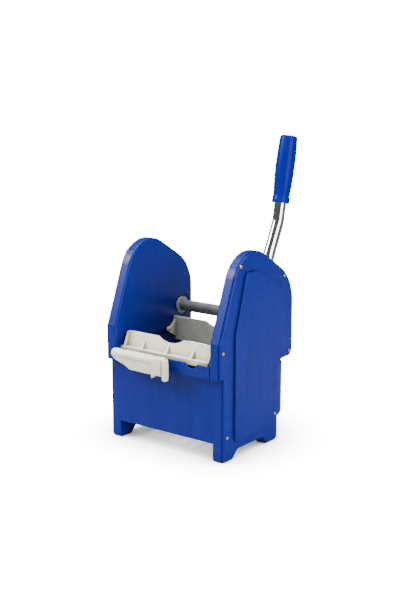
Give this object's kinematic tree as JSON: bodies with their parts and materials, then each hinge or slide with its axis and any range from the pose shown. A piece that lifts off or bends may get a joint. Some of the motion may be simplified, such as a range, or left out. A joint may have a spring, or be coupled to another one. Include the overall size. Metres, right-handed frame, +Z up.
{
  "type": "down-press mop wringer",
  "caption": "Down-press mop wringer: a basket between gear towers, two press plates that swing shut on the mop when the bent handle is pushed down.",
  "frame": {"origin": "on the floor under the middle of the part's box", "axes": "+Z up, +Y to the rear, +X to the side that carries the handle"},
  "size_m": [0.293, 0.334, 0.61],
  "materials": {
    "blue_moulding": "satin",
    "white_moulding": "satin",
    "gear_nylon": "matte",
    "bush_plastic": "satin",
    "steel": "bright",
    "shaft_coating": "satin",
    "hub_casting": "cast",
    "tube_chrome": "polished",
    "grip_plastic": "gloss"
  },
  "bodies": {
    "housing": {"left_tower": "blue_moulding", "right_tower": "blue_moulding", "basket": "blue_moulding", "drain_plate": "blue_moulding", "left_cover": "blue_moulding", "right_cover": "blue_moulding", "left_cover_screws": "steel", "right_cover_screws": "steel", "basket_screws": "steel", "left_shaft_bush": "bush_plastic", "right_shaft_bush": "bush_plastic", "arm_pivot_pins": "steel", "latch_hinge_pin": "steel", "return_springs": "steel"},
    "handle": {"cross_shaft": "shaft_coating", "handle_hub": "hub_casting", "hub_roll_pin": "steel", "handle_tube": "tube_chrome", "handle_bolt": "steel", "handle_nut": "steel", "handle_grip": "grip_plastic", "left_drive_sector": "gear_nylon", "right_drive_sector": "gear_nylon", "sector_roll_pins": "steel"},
    "front_jaw": {"front_plate": "white_moulding", "left_front_arm": "gear_nylon", "right_front_arm": "gear_nylon", "front_plate_screws": "steel", "front_arm_bushes": "bush_plastic"},
    "rear_jaw": {"rear_plate": "white_moulding", "left_rear_arm": "blue_moulding", "right_rear_arm": "blue_moulding", "rear_plate_screws": "steel", "rear_arm_bushes": "bush_plastic"},
    "latch": {"rim_latch": "white_moulding"}
  },
  "joints": [
    {"name": "handle_press", "type": "hinge", "parent": "housing", "child": "handle", "pos_m": [0, 0.07275, 0.243], "axis": [-1, 0, 0], "range_deg": [0, 72], "stiffness_Nm_per_rad": 1, "springref_deg": -57.3},
    {"name": "front_jaw_swing", "type": "hinge", "parent": "housing", "child": "front_jaw", "pos_m": [0, -0.06605, 0.32653], "axis": [1, 0, 0], "range_deg": [0, 27.7], "deforming": ["return_springs"]},
    {"name": "rear_jaw_swing", "type": "hinge", "parent": "housing", "child": "rear_jaw", "pos_m": [0, -0.01205, 0.32653], "axis": [-1, 0, 0], "range_deg": [0, 27.7]},
    {"name": "latch_swing", "type": "hinge", "parent": "housing", "child": "latch", "pos_m": [0, -0.15305, 0.186], "axis": [-1, 0, 0], "range_deg": [0, 70]}
  ],
  "couplings": [
    {"joint": "front_jaw_swing", "follows": "handle_press", "ratio": 0.38461},
    {"joint": "rear_jaw_swing", "follows": "handle_press", "ratio": 0.38461}
  ]
}
